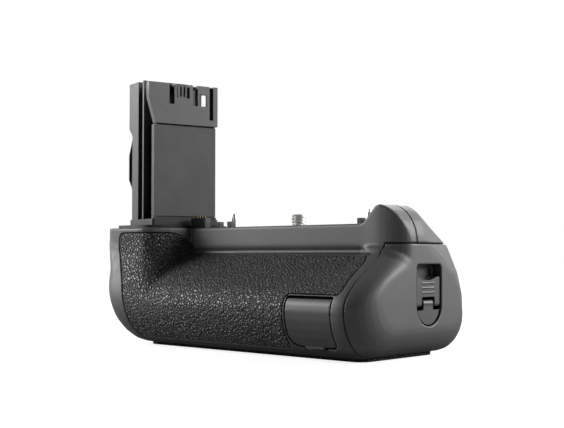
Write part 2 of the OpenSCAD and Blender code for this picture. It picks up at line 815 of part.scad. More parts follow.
module power_switch() {
    color("#59595a") {
        block([switch_x - knob_l / 2 - switch_travel - slider_lap, bay_y1 + switch_gap,
                switch_z - knob_h / 2 - slider_lap],
            [switch_x + knob_l / 2 + slider_lap, bay_y1 + switch_gap + slider_t,
                switch_z + knob_h / 2 + slider_lap]);
        difference() {
            block([switch_x - knob_l / 2, bay_y1 + switch_gap, switch_z - knob_h / 2],
                [switch_x + knob_l / 2, y_r + 1.2, switch_z + knob_h / 2]);
            for (i = [-1, 0, 1])
                translate([switch_x + 1.4 * i, y_r + 1.2, switch_z])
                    rotate(45) cube([0.5, 0.5, far], center = true);
        }
    }
}

module front_shell() {
    color("#4d4d4e")
    difference() {
        front_half();
        front_cavity();
        shared_room();
        block([-far, seam_y - seam_gap / 2, -far], [far, far, far]);
        front_mould(skin_shift, grip_outline(skin_gap));
        cover_recess();
        terminal(pin_gap);
        at_release() translate([0, 0, -far / 8])
            cylinder(r = release_r + release_ring + pin_gap, h = far / 4);
    }
}

module rear_shell() {
    color("#4d4d4e")
    difference() {
        rear_half();
        rear_cavity();
        shared_room();
        block([-far, -far, -far], [far, seam_y + seam_gap / 2, far]);
        thumb_mould(thumb_outline(skin_gap));
        dial_room();
        button_holes();
        switch_slot();
    }
}

// Magazine bay: a tube on feet, with posts that carry the deck
post_r = 3.2;
deck_screw_r = 1;
post_places = [for (x = [step_x + 7.6, shoulder_x - 13], y = [seam_y - 1, deck_rear - 8.5]) [x, y]];
module magazine_bay() {
    color("#2b2b2d")
    difference() {
        union() {
            block([bay_x0, bay_y0, bay_z0], [cap_x, bay_y1, bay_z1]);
            for (p = foot_places)
                rod("z", post_r, [p.x, p.y, foot_h + wall], [p.x, p.y, bay_z0 + eps]);
            for (p = post_places)
                rod("z", post_r, [p.x, p.y, bay_z1 - eps], [p.x, p.y, deck_under]);
        }
        block([bay_x0 + bay_wall, bay_y0 + bay_wall, bay_z0 + bay_wall],
            [far, bay_y1 - bay_wall, bay_z1 - bay_wall]);
        for (p = foot_places)
            rod("z", base_screw_r + pin_gap, [p.x, p.y, 0], [p.x, p.y, bay_z0]);
        for (p = post_places)
            rod("z", deck_screw_r + pin_gap, [p.x, p.y, bay_z1 + 2], [p.x, p.y, far]);
    }
}

contact_w = 3;
contact_h = 9;
contact_pitch = 6;
contact_ys = [for (i = [-1.5:1:1.5]) tray_y + contact_pitch * i];
module contact_row(x0, x1, z) {
    for (y = contact_ys)
        block([x0, y - contact_w / 2, z - contact_h / 2], [x1, y + contact_w / 2, z + contact_h / 2]);
}

contact_z = tray_z0 + tray_h / 2;
module bay_contacts() {
    color("#c9a24a")
    contact_row(bay_x0 + bay_wall, tray_x0 - strip_t - 0.2, contact_z);
}

// Magazine: cap, tray and contacts
cap_stations = [for (x = stations) if (x > shoulder_x + shoulder_run - eps) x];
module cap_form() {
    loft(cap_stations, [for (x = cap_stations) let (r = rear_section(x))
        concat(front_section(x), [for (i = [len(r) - 1:-1:0]) r[i]])]);
}

recess_x = x_r - recess_d;
recess_r = recess_w / 2;
recess_top = recess_z + recess_h;
recess_corner = 1.6;
module recess_outline(g) {
    w = recess_r + g;
    c = recess_corner + g;
    top = recess_h - recess_r;
    translate([recess_y, recess_z + recess_r]) {
        circle(w);
        translate([-w, 0]) square([2 * w, top - recess_corner]);
        translate([recess_corner - recess_r, 0]) square([recess_w - 2 * recess_corner, top + g]);
        for (x = [-1, 1])
            translate([x * (recess_r - recess_corner), top - recess_corner]) circle(c);
    }
}

module magazine_cap() {
    color("#4d4d4e")
    difference() {
        intersection() {
            cap_form();
            block([cap_x + seam_gap, -far, -far], [far, far, cap_h - seam_gap]);
        }
        block([0, tray_y - tray_w / 2, tray_z0], [tray_x1, tray_y + tray_w / 2, tray_z0 + tray_h]);
        push_x(recess_x, far) recess_outline(0);
    }
}

cell_x = [tray_x0 + tray_wall, tray_x0 + 2 * tray_wall + cell_space];
cell_y0 = tray_y - tray_w / 2 + tray_wall;
cell_y1 = tray_y + tray_w / 2 - tray_wall;
cell_z0 = tray_z0 + tray_wall;
tray_top = tray_z0 + tray_h;
thumb_notch = 9;
catch_w = 7;
catch_h = 4;
catch_reach = 0.8;
catch_gap = 0.3;
catch_x = [for (x = cell_x) x + cell_space * 0.78];
catch_z = tray_top - catch_h / 2 - 1.6;
module catch_slot(x) {
    block([x - catch_w / 2 - catch_gap, cell_y1 - eps, catch_z - catch_h / 2 - catch_gap],
        [x + catch_w / 2 + catch_gap, far, catch_z + catch_h / 2 + catch_gap]);
}

module magazine_tray() {
    color("#333335")
    difference() {
        block([tray_x0, tray_y - tray_w / 2, tray_z0], [tray_x1, tray_y + tray_w / 2, tray_top]);
        for (x = cell_x) {
            block([x, cell_y0, cell_z0], [x + cell_space, cell_y1, far]);
            rod("y", thumb_notch, [x + cell_space / 2, -far, tray_top],
                [x + cell_space / 2, far, tray_top]);
        }
        for (x = catch_x) catch_slot(x);
        contact_row(tray_x0 - 1, cell_x[0] + eps, contact_z);
        contact_row(cell_x[1] - strip_t, cell_x[1] + eps, contact_z);
    }
}

module tray_contacts() {
    color("#c9a24a") {
        contact_row(tray_x0 - strip_t, cell_x[0], contact_z);
        contact_row(cell_x[1] - strip_t, cell_x[1], contact_z);
    }
}

// Catch with a ramp on its upper side, so that a battery pushes it aside
module battery_catch(x) {
    color("#b5562a")
    push_x(x - catch_w / 2, x + catch_w / 2)
        polygon([
            [cell_y1 - catch_reach, catch_z - catch_h / 2],
            [cell_y1 + tray_wall - catch_reach, catch_z - catch_h / 2],
            [cell_y1 + tray_wall - catch_reach, catch_z + catch_h / 2],
            [cell_y1, catch_z + catch_h / 2],
            [cell_y1 - catch_reach, catch_z]
        ]);
}

module battery_catch_1() { battery_catch(catch_x[0]); }
module battery_catch_2() { battery_catch(catch_x[1]); }

// Lock: half-round block with the hinge tongue, and the flip lever over it
lever_gap = 0.35;
lever_sink = 0.3;
hub_top = recess_z + 6.2;
lever_r = 1.6;
lever_z = hub_top + lever_r + lever_gap + 0.1;
lever_front = x_r - lever_sink;
lever_x = lever_front - lever_r;
lever_back = recess_x + 0.6;
lever_top = recess_top - finger_gap;
module lock_block() {
    color("#474748")
    difference() {
        union() {
            intersection() {
                push_x(recess_x, lever_front) recess_outline(-lever_gap);
                block([0, -far, 0], [far, far, hub_top]);
            }
            block([recess_x, recess_y - tongue_w / 2, hub_top - eps],
                [lever_front, recess_y + tongue_w / 2, lever_z]);
            rod("y", lever_r + 0.15, [lever_x, recess_y - tongue_w / 2, lever_z],
                [lever_x, recess_y + tongue_w / 2, lever_z]);
        }
        rod("y", lever_pin_r + pin_gap, [lever_x, -far, lever_z], [lever_x, far, lever_z]);
    }
}

module lever_pin() {
    color("silver")
    rod("y", lever_pin_r, [lever_x, recess_y - recess_r + 0.6, lever_z],
        [lever_x, recess_y + recess_r - 0.6, lever_z]);
}

rib_count = 3;
rib_pitch = 1.7;
rib_h = 0.25;
scallop_r = 11.5;
module lock_lever() {
    color("#525253")
    difference() {
        union() {
            block([lever_back, recess_y - recess_r + lever_gap, lever_z],
                [lever_front, recess_y + recess_r - lever_gap, lever_top]);
            rod("y", lever_r, [lever_x, recess_y - recess_r + lever_gap, lever_z],
                [lever_x, recess_y + recess_r - lever_gap, lever_z]);
            for (i = [0:rib_count - 1])
                translate([lever_front, recess_y, lever_top - 2.6 - rib_pitch * i])
                    rotate([90, 0, 0]) cylinder(r = rib_h, h = recess_w * 0.5, center = true);
        }
        block([0, recess_y - tongue_w / 2 - lever_gap, 0],
            [far, recess_y + tongue_w / 2 + lever_gap, lever_z + lever_r + 0.6]);
        rod("y", lever_pin_r + run_gap, [lever_x, -far, lever_z], [lever_x, far, lever_z]);
        rod("x", scallop_r, [0, recess_y, lever_top + scallop_r - 1.2],
            [far, recess_y, lever_top + scallop_r - 1.2]);
    }
}

// Clamp: screw and thumbwheel turn together between the deck and a bracket on the bay
wheel_teeth = 60;
tooth_h = 0.6;
pivot_r = 2.5;
pivot_l = 5;
bracket_r = 9;
bush_r = 6.5;
shank_r = screw_r + 0.4;
screw_top = deck_top + screw_out;
tip_h = 0.7;
module thumbwheel() {
    color("#343436")
    difference() {
        union() {
            translate([0, 0, wheel_z0])
                linear_extrude(wheel_t)
                    polygon([for (i = [0:2 * wheel_teeth - 1])
                        let (a = 180 * i / wheel_teeth, r = wheel_r - tooth_h * (i % 2))
                        [r * cos(a), r * sin(a)]]);
            rod("z", pivot_r, [0, 0, wheel_z0 - pivot_l], [0, 0, wheel_z0 + eps]);
        }
        rod("z", shank_r + pin_gap, [0, 0, wheel_z0 + 1], [0, 0, far]);
    }
}

module clamp_screw() {
    color("silver")
    rotate_extrude()
        polygon([
            [0, wheel_z0 + 1], [shank_r, wheel_z0 + 1], [shank_r, deck_top], [screw_r, deck_top],
            [screw_r, screw_top - tip_h], [screw_r - tip_h, screw_top], [0, screw_top]
        ]);
}

module clamp_bush() {
    color("#8a8a8c")
    difference() {
        rod("z", bush_r, [0, 0, deck_under], [0, 0, deck_top]);
        rod("z", shank_r + run_gap, [0, 0, 0], [0, 0, far]);
    }
}

module wheel_bracket() {
    color("#2b2b2d")
    difference() {
        rod("z", bracket_r, [0, 0, bay_z1], [0, 0, wheel_z0 - wheel_gap]);
        rod("z", pivot_r + run_gap, [0, 0, wheel_z0 - pivot_l - wheel_gap], [0, 0, far]);
    }
}

// Deck plate and what stands on it
pin_r = 1.2;
pin_foot_r = pin_r + 0.6;
pin_out = 6.3;
guide_y = seam_y + 2.5;
guide_xs = [step_x + 15.3, shoulder_x - 4.8];
head_r = 2.2;
sink_h = 1.2;
module deck_plate() {
    color("#1f1f20")
    difference() {
        deck_slab(rim + skin_gap, deck_under, deck_top);
        rod("z", bush_r + pin_gap, [0, 0, 0], [0, 0, far]);
        for (x = guide_xs)
            rod("z", pin_foot_r + pin_gap, [x, guide_y, 0], [x, guide_y, far]);
        for (p = post_places) {
            rod("z", deck_screw_r + pin_gap, [p.x, p.y, 0], [p.x, p.y, far]);
            translate([p.x, p.y, deck_top - sink_h])
                cylinder(r1 = deck_screw_r + pin_gap, r2 = head_r + pin_gap, h = sink_h + eps);
        }
    }
}

module deck_screws() {
    color("silver")
    for (p = post_places)
        translate([p.x, p.y, 0])
            difference() {
                rotate_extrude()
                    polygon([
                        [0, deck_under - 6], [deck_screw_r, deck_under - 6],
                        [deck_screw_r, deck_top - sink_h], [head_r, deck_top], [0, deck_top]
                    ]);
                for (a = [0, 90])
                    translate([0, 0, deck_top]) rotate(a) cube([2.4, 0.5, 1], center = true);
            }
}

module locating_pins() {
    color("#c9a24a")
    for (x = guide_xs)
        translate([x, guide_y, 0])
            rotate_extrude()
                polygon([
                    [0, deck_under], [pin_foot_r, deck_under], [pin_foot_r, deck_top],
                    [pin_r, deck_top], [pin_r, deck_top + pin_out - 2.6],
                    [0.4, deck_top + pin_out], [0, deck_top + pin_out]
                ]);
}

lug = 2.4;
lug_h = 2.6;
lug_places = [
    [step_x + 14.7, seam_y - 5.5],
    [step_x + 21.3, seam_y - 5.5],
    [shoulder_x - 5, seam_y - 2]
];
module deck_lugs() {
    color("#161617")
    for (p = lug_places)
        block([p.x - lug / 2, p.y - lug / 2, deck_top], [p.x + lug / 2, p.y + lug / 2, deck_top + lug_h]);
}

terminal_x = step_x + 2.8;
terminal_y = seam_y - 5.5;
terminal_w = 9;
terminal_d = 3;
terminal_h = 4.5;
signal_r = 0.45;
signal_out = 1;
signal_travel = 0.8;
signal_floor = 1.2;
signal_xs = [for (i = [-1.5:1:1.5]) terminal_x + 1.6 * i];
module terminal(g) {
    block([terminal_x - terminal_w / 2 - g, terminal_y - terminal_d / 2 - g, deck_top],
        [terminal_x + terminal_w / 2 + g, terminal_y + terminal_d / 2 + g, deck_top + terminal_h]);
}

module contact_block() {
    color("#19191a")
    difference() {
        terminal(0);
        for (x = signal_xs)
            rod("z", signal_r + run_gap, [x, terminal_y, deck_top + signal_floor], [x, terminal_y, far]);
    }
}

module signal_pins() {
    color("#d9b45a")
    for (x = signal_xs)
        rod("z", signal_r, [x, terminal_y, deck_top + signal_floor + signal_travel + 0.1],
            [x, terminal_y, deck_top + terminal_h + signal_out]);
}

module control_board() {
    color("darkgreen")
    block([bay_x0 + 2, bay_y0 + 6, bay_z1], [step_x + 3, key_y0 - board_t - 1, bay_z1 + board_t]);
}

// Stem: the column that stands in the camera's battery compartment
module on_stem() {
    translate([stem_x, stem_y, deck_top]) rotate(stem_turn) children();
}

sx = stem_t / 2;
sy = stem_w / 2;
plinth_in = 0.8;
plinth_end = step_x - 2;
plinth_back = stem_y + sy + 4;
collar_out = 0.8;
panel_t = 1.5;
panel_z0 = plinth_h + collar_h + 1;
crown_h = 2;
head_z = stem_h - head_h;
head_x1 = sx + 0.75;
head_y0 = -sy - 2.65;
head_y1 = sy + 0.3;
plate_t = 2.6;
plate_x = head_x1 - plate_t;
well_x = -sx + 6.2;
well_d = 9;
rib_x0 = well_x + 4.2;
rib_t = 1.2;
rib_x1 = rib_x0 + rib_t;
rail_x1 = rib_x1 + 3.8;
rail_d = 6;
sill_d = 2;
head_wall = 1.2;
shelf_out = 3.2;
shelf_z = head_z - 0.5;
notch_x = 3;
// Open corner behind the head's window
module sight_notch() {
    block([-notch_x, window_y0 + 0.5, slot_z], [plate_x, far, far]);
}

module stem_plinth() {
    color("#232324")
    difference() {
        union() {
            translate([0, 0, deck_top])
                linear_extrude(plinth_h)
                    intersection() {
                        polygon(deck_outline(rim + plinth_in));
                        translate([x_l, -far]) square([plinth_end - x_l, far + plinth_back]);
                    }
            on_stem()
                round_plate([-sx - collar_out, -sy - collar_out], [sx + collar_out, sy + collar_out], 1.2,
                    plinth_h - eps, plinth_h + collar_h);
        }
        on_stem()
            block([-sx - pin_gap, -sy - pin_gap, -1], [sx + pin_gap, sy + pin_gap, far]);
    }
}

module stem_column() {
    color("#3c3c3d")
    on_stem()
    difference() {
        union() {
            block([-sx, -sy, 0], [sx, sy, stem_h + crown_h]);
            push_y(-sy, sy)
                polygon([[-sx, shelf_z - shelf_out], [-sx - shelf_out, shelf_z],
                    [-sx - shelf_out, stem_h + crown_h], [-sx + 1, stem_h + crown_h], [-sx + 1, shelf_z]]);
        }
        block([well_x, -far, panel_z0 - 1], [rib_x0, -sy + well_d, far]);
        block([rib_x1, -far, panel_z0 - 1], [rail_x1, -sy + rail_d, head_z]);
        block([rail_x1 - eps, -far, panel_z0 - 1], [sx - panel_t + eps, -sy + sill_d, head_z]);
        block([sx - panel_t, -far, panel_z0], [far, far, head_z]);
        block([rib_x1, -far, head_z], [far, far, far]);
        sight_notch();
    }
}

module stem_panel() {
    color("#57575a")
    on_stem()
    block([sx - panel_t, -sy + 0.3, panel_z0 + 0.2], [sx, sy - 0.3, head_z - 0.5]);
}

slot_w = 2.4;
slot_z = stem_h - 8.9;
slot_ys = [-sy + 8.2, -sy + 19.55];
window_y0 = -sy + 21.6;
window_y1 = -sy + 25;
window_t = 0.8;
window_z1 = stem_h - 3.7;
data_y0 = -sy + 10.7;
data_y1 = -sy + 16.7;
data_z = stem_h - 5.9;
edge_slot_y = -sy + 27.5;
edge_slot_w = 1.8;
edge_slot_d = 1.8;
edge_slot_z = stem_h - 14.7;
chamfer_h = 10.8;
chamfer_d = 3.2;
module stem_head() {
    color("#4a4a4b")
    on_stem()
    difference() {
        union() {
            difference() {
                union() {
                    block([rib_x1, -sy + rail_d, head_z], [head_x1, head_y1, stem_h]);
                    block([plate_x, head_y0, head_z], [head_x1, head_y1, stem_h]);
                }
                block([rib_x1 + head_wall, -sy + rail_d + head_wall, head_z + head_wall],
                    [plate_x, far, stem_h - head_wall]);
                for (y = slot_ys)
                    block([plate_x - 1, y - slot_w / 2, slot_z], [far, y + slot_w / 2, far]);
                block([plate_x - 1, data_y0, data_z], [far, data_y1, far]);
                block([plate_x - 1, window_y0, slot_z], [far, window_y1, window_z1]);
                block([plate_x - 1, window_y0 - 0.4, slot_z], [head_x1 - window_t, window_y1 + 1, window_z1]);
                block([head_x1 - edge_slot_d, edge_slot_y - edge_slot_w / 2, edge_slot_z],
                    [far, edge_slot_y + edge_slot_w / 2, far]);
            }
            block([plate_x - 0.5, data_y0 + 0.7, data_z - 1], [head_x1 - 0.8, data_y1 - 0.7, stem_h - 0.6]);
        }
        for (y = [blend(data_y0, data_y1, 0.36), blend(data_y0, data_y1, 0.64)])
            block([plate_x + 0.6, y - 0.4, data_z + 0.6], [far, y + 0.4, far]);
        sight_notch();
        push_x(0, far)
            polygon([
                [head_y0 - 1, head_z - 1], [head_y0 + chamfer_d, head_z - 1], [head_y0 + chamfer_d, head_z],
                [head_y0, head_z + chamfer_h], [head_y0 - 1, head_z + chamfer_h]
            ]);
    }
}

blade_t = 0.6;
module stem_contacts() {
    color("#c9a24a")
    on_stem()
    for (y = concat(slot_ys, [edge_slot_y]))
        block([rib_x1 + head_wall, y - blade_t / 2, head_z + head_wall],
            [plate_x - 2, y + blade_t / 2, y < window_y0 ? stem_h - 4 : slot_z - 0.5]);
}

clip_z0 = 16.8;
clip_z1 = shelf_z - shelf_out - 0.2;
clip_out = 4;
clip_t = 0.5;
clip_y = -sy + 0.2;
clip_w = 7;
module stem_clip() {
    color("#3a3a3c")
    on_stem()
    translate([0, clip_y + clip_w, 0])
        rotate([90, 0, 0])
            linear_extrude(clip_w)
                polygon([
                    [-sx, clip_z0], [-sx - clip_out, clip_z0 + 5], [-sx - clip_out, clip_z1 - 8],
                    [-sx, clip_z1], [-sx, clip_z1 - clip_t * 3],
                    [-sx - clip_out + clip_t, clip_z1 - 8.5], [-sx - clip_out + clip_t, clip_z0 + 5],
                    [-sx, clip_z0 + clip_t * 3]
                ]);
}

front_shell();
rear_shell();
base_pad();
grip_rubber();
thumb_rubber();
deck_plate();
magazine_bay();
bay_contacts();
tripod_socket();
base_screws();
deck_screws();
clamp_bush();
wheel_bracket();
thumbwheel();
clamp_screw();
locating_pins();
deck_lugs();
contact_block();
signal_pins();
control_board();
stem_plinth();
stem_column();
stem_panel();
stem_head();
stem_contacts();
stem_clip();
cord_cover();
cord_cover_pin();
release_ring();
release_button();
release_switch();
command_dial();
dial_axle();
dial_bracket();
focus_button();
lock_button();
start_button();
button_keys();
button_board();
power_switch();
magazine_cap();
magazine_tray();
tray_contacts();
battery_catch_1();
battery_catch_2();
lock_block();
lever_pin();
lock_lever();
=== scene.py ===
"""Dress a camera battery grip: skins, rubber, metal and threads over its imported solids."""
import json
import math

import bmesh
import bpy
from bpy.props import FloatProperty, FloatVectorProperty, IntProperty, PointerProperty
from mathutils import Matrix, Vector
from mathutils.kdtree import KDTree


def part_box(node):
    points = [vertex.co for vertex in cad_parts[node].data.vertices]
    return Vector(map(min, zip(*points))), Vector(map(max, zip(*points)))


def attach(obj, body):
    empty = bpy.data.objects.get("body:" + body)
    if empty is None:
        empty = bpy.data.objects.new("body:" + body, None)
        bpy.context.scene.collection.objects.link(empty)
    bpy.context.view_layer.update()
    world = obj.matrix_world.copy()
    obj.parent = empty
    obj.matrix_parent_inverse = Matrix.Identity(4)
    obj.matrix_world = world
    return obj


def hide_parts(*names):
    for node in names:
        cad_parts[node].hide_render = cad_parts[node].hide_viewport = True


bl_info = {
    "name": "Battery Grip Dresser",
    "version": (1, 0, 0),
    "blender": (4, 5, 0),
    "location": "3D View > Sidebar > Grip",
    "description": "Gives a camera battery grip its moulded skins, rubber, metal and threads",
    "category": "Object",
}

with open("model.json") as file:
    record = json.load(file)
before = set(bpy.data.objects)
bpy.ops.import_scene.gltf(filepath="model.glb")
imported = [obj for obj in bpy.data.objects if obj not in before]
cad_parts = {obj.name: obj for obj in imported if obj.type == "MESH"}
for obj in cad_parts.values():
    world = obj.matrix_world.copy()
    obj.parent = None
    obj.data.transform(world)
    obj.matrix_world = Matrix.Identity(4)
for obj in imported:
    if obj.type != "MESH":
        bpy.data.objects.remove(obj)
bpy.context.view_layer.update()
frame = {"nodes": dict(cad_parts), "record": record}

BODY_OF = {node: body
           for body, nodes in frame["record"]["behaviour"]["bodies"].items()
           for node in nodes}
SLOT_OF = {row["node"]: row["material_slot"] for row in frame["record"]["subparts"]}
MM = 0.001


# Sizes and colours ---------------------------------------------------------------------------

def colour_property(name, description, default):
    return FloatVectorProperty(name=name, description=description, subtype="COLOR", size=3,
                               min=0, max=1, default=default)


def length_property(name, description, default):
    return FloatProperty(name=name, description=description, unit="LENGTH", precision=5,
                         min=0, default=default)


def count_property(name, description, default):
    return IntProperty(name=name, description=description, min=1, default=default)


class GripColours(bpy.types.PropertyGroup):
    """Colours of the grip's materials"""
    shell: colour_property("Shell", "Moulded shells and end cap", (0.062, 0.062, 0.063))
    rubber: colour_property("Rubber", "Grained skins and base pad", (0.011, 0.011, 0.0115))
    deck: colour_property("Deck", "Top plate and the foot of the stem", (0.016, 0.016, 0.0165))
    stem: colour_property("Stem", "Column that enters the camera", (0.03, 0.03, 0.031))
    head: colour_property("Head", "Head of the stem", (0.093, 0.093, 0.0961))
    panel: colour_property("Panel", "Sheet on the stem's face", (0.062, 0.062, 0.063))
    chassis: colour_property("Chassis", "Inner frame", (0.028, 0.028, 0.029))
    tray: colour_property("Tray", "Battery tray", (0.04, 0.04, 0.041))
    control: colour_property("Controls", "Buttons, dial, lever and cord cover",
                             (0.055, 0.055, 0.056))
    catch: colour_property("Catches", "Battery catches", (0.05, 0.05, 0.052))
    steel: colour_property("Steel", "Screws, pins and socket", (0.66, 0.65, 0.63))
    contact: colour_property("Contacts", "Plated contacts", (0.76, 0.57, 0.27))
    pin: colour_property("Pins", "Tarnished signal pins", (0.0912, 0.0684, 0.0324))
    board: colour_property("Boards", "Lacquered boards", (0.018, 0.1, 0.045))
    floor: colour_property("Floor", "Studio floor", (0.3, 0.3, 0.3))


class GripSizes(bpy.types.PropertyGroup):
    """Sizes of the grip's skins, grain and threads"""
    skin_step: length_property("Skin step", "Distance between points of a moulded skin", 0.34 * MM)
    cap_step: length_property("Cap step", "Distance between points of the end cap's skin",
                              0.28 * MM)
    cover_step: length_property("Cover step", "Distance between points of the cord cover's skin",
                                0.29 * MM)
    lever_step: length_property("Lever step", "Distance between points of the lock's skins",
                                0.13 * MM)
    rubber_step: length_property("Rubber step", "Distance between points of a rubber skin",
                                 0.42 * MM)
    skin_passes: count_property("Skin passes", "How often a moulded skin is smoothed", 40)
    rubber_passes: count_property("Rubber passes", "How often a rubber skin is smoothed", 25)
    pad_passes: count_property("Pad passes", "How often the base pad's skin is smoothed", 2)
    lever_passes: count_property("Lever passes", "How often the lock's skins are smoothed", 1)
    skin_limit: count_property("Skin limit", "Most triangles of a skin", 180000)
    edge_reach: length_property("Edge reach",
                                "Distance from a sharp edge where a skin is smoothed in full",
                                2.2 * MM)
    parting: length_property("Parting", "How far the cord cover stands back from the shell",
                             0.14 * MM)
    rubber_parting: length_property("Rubber parting", "How far a rubber skin stands back",
                                    0.084 * MM)
    lever_gap: length_property("Lever gap", "How far the lever and its lock stand back", 0.3 * MM)
    edge_round: length_property("Edge round", "Width of the rounding on moulded edges", 0.22 * MM)
    control_round: length_property("Control round", "Width of the rounding on ribbed controls",
                                   0.132 * MM)
    fine_round: length_property("Fine round", "Width of the rounding on small pieces", 0.08 * MM)
    spray: length_property("Spray grain", "Size of the fine grain on plastic", 0.3 * MM)
    pebble: length_property("Pebble", "Size of a pebble of the rubber's grain", 1.3 * MM)
    thread_pitch: length_property("Thread pitch", "Rise of the camera thread in a turn", 1.27 * MM)
    thread_depth: length_property("Thread depth", "Depth of the camera screw's thread", 0.62 * MM)
    socket_depth: length_property("Socket depth", "Depth of the socket's thread", 0.496 * MM)


def colours():
    return bpy.context.scene.grip_colours


def sizes():
    return bpy.context.scene.grip_sizes


# Materials -----------------------------------------------------------------------------------

class Wire:
    """A socket of a material, with which sums are written as sums"""

    def __init__(self, paint, socket):
        self.paint = paint
        self.socket = socket

    def __add__(self, other):
        return self.paint.maths("ADD", self, other)

    def __radd__(self, other):
        return self.paint.maths("ADD", other, self)

    def __sub__(self, other):
        return self.paint.maths("SUBTRACT", self, other)

    def __rsub__(self, other):
        return self.paint.maths("SUBTRACT", other, self)

    def __mul__(self, other):
        return self.paint.maths("MULTIPLY", self, other)

    def __rmul__(self, other):
        return self.paint.maths("MULTIPLY", other, self)


class Paint:
    """A material in the making"""

    def __init__(self, name, material=None):
        self.material = material or bpy.data.materials.new(name)
        self.material.use_nodes = True
        self.tree = self.material.node_tree
        self.tree.nodes.clear()

    def node(self, kind, settings=None, inputs=None, output=0):
        """Add a node: settings first, then the values or links of its sockets"""
        made = self.tree.nodes.new(kind)
        for key, value in (settings or {}).items():
            setattr(made, key, value)
        for key, value in (inputs or {}).items():
            if isinstance(value, Wire):
                self.tree.links.new(value.socket, made.inputs[key])
            else:
                made.inputs[key].default_value = value
        return Wire(self, made.outputs[output]) if made.outputs else None

    def maths(self, operation, a, b):
        return self.node("ShaderNodeMath", {"operation": operation}, {0: a, 1: b})

    def vector_maths(self, operation, inputs, output=0):
        return self.node("ShaderNodeVectorMath", {"operation": operation}, inputs, output)

    def place(self):
        return self.node("ShaderNodeTexCoord", output="Object")

    def noise(self, scale, detail=3.0, rough=0.55, vector=None, output=0):
        return self.node("ShaderNodeTexNoise", {"noise_dimensions": "3D"},
                         {"Vector": vector or self.place(), "Scale": scale, "Detail": detail,
                          "Roughness": rough}, output)

    def ramp(self, value, low, high, to_low=0.0, to_high=1.0):
        return self.node("ShaderNodeMapRange", {"interpolation_type": "SMOOTHSTEP"},
                         {"Value": value, "From Min": low, "From Max": high, "To Min": to_low,
                          "To Max": to_high})

    def clouds(self, noise):
        """Soft patches of a noise"""
        return self.ramp(noise, 0.3, 0.7)

    def between(self, factor, a, b):
        """Colour between a and b"""
        return self.node("ShaderNodeMix", {"data_type": "RGBA"}, {0: factor, 6: a, 7: b}, 2)

    def edges(self, low=0.515, high=0.6):
        """Where the surface stands out: used for worn edges on plastic and for a painted highlight
        on the rubber's edges
        """
        return self.ramp(self.node("ShaderNodeNewGeometry", output="Pointiness"), low, high)

    def bump(self, height, distance, strength):
        return self.node("ShaderNodeBump", inputs={"Height": height, "Distance": distance,
                                                   "Strength": strength})

    def shaded_hollows(self, reach=6.0 * MM, low=0.32, high=0.9):
        """Mask for painted shade, from ambient occlusion: 0 deep in a gap or recess, 1 on an open
        face
        """
        openness = self.node("ShaderNodeAmbientOcclusion", {"samples": 8}, {"Distance": reach},
                             "AO")
        return self.ramp(openness, low, high)

    def within(self, low, high, soft=0.15 * MM):
        """1 in the box between two corners, fading out over its edges"""
        sides = []
        for axis, (start, end) in enumerate(zip(low, high)):
            value = self.node("ShaderNodeSeparateXYZ", inputs={0: self.place()}, output=axis)
            sides += [self.ramp(value, start, start + soft),
                      self.ramp(value, end - soft, end, 1.0, 0.0)]
        return math.prod(sides)

    def principled(self, **inputs):
        named = {key.replace("_", " "): value for key, value in inputs.items()}
        return self.node("ShaderNodeBsdfPrincipled", inputs=named)

    def output(self, shader, kind="ShaderNodeOutputMaterial"):
        self.node(kind, inputs={"Surface": shader})
        return self.material


def shade(colour, times=1.0):
    """A colour made lighter or darker"""
    return (*(min(1.0, part * times) for part in colour), 1)


def lip_shade_box(top_band=1.0 * MM, below=0.6 * MM, above=1.15 * MM, past=0.5 * MM):
    """Corners of the strip between the rubber's long upper edge and the lip over it, where shade is
    painted
    """
    rubber = frame["nodes"]["grip_rubber"].data
    points = [vertex.co for vertex in rubber.vertices if vertex.co.x > 0]
    edge = max(point.z for point in points)
    end = max(point.x for point in points if point.z > edge - top_band)
    front = min(point.y for point in points)
    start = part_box("contact_block")[0].x
    return (start, front, edge - below), (end + past, 0, edge + above)


# Noise scales per metre, and tones as shares of the base colour
CLOUD_SCALE = 55
HANDLING_SCALE = 160
CLOUD_TONES = 0.88, 1.1
SPECK_TONE = 1.35
WORN_TONE = 1.9
# Painted shade deep in gaps and recesses
HOLLOW_SHADE_TONE = 0.1
# Painted shade on the strip under the lip, and how much duller that strip is made
LIP_SHADE_TONE = 0.12
LIP_STRIP_DULLNESS = 0.3


def moulded(name, colour, rough=0.5, grain=1.0, depth=0.035 * MM, wear=0.35, gloss=0.4,
            lip_shade=None):
    """Moulded plastic with a sprayed grain, slight clouds, polished edges, painted shade in gaps
    and recesses, and painted shade on a given strip under the lip
    """
    paint = Paint(name)
    fine = paint.noise(1 / (sizes().spray * grain), detail=2.0, rough=0.6)
    cloud = paint.noise(CLOUD_SCALE, detail=4.0)
    handled = paint.noise(HANDLING_SCALE, detail=5.0, rough=0.65)
    worn = paint.edges() * paint.ramp(handled, 0.35, 0.65, 0.3, 1.0)
    specks = paint.ramp(fine, 0.3, 0.75) * 0.35
    base = paint.between(paint.clouds(cloud), *(shade(colour, tone) for tone in CLOUD_TONES))
    base = paint.between(specks, base, shade(colour, SPECK_TONE))
    base = paint.between(worn * wear, base, shade(colour, WORN_TONE))
    # Painted shade in gaps and recesses
    base = paint.between(paint.shaded_hollows(), shade(colour, HOLLOW_SHADE_TONE), base)
    dull = rough + (fine - 0.5) * 0.16 + (cloud - 0.5) * 0.1 - worn * 0.12
    # Painted shade on the strip under the lip
    if lip_shade:
        shaded = paint.within(*lip_shade)
        base = paint.between(shaded, base, shade(colour, LIP_SHADE_TONE))
        dull = dull + shaded * LIP_STRIP_DULLNESS
    return paint.output(paint.principled(Base_Color=base, Roughness=dull, Specular_IOR_Level=gloss,
                                         Normal=paint.bump(fine, depth, 0.6)))


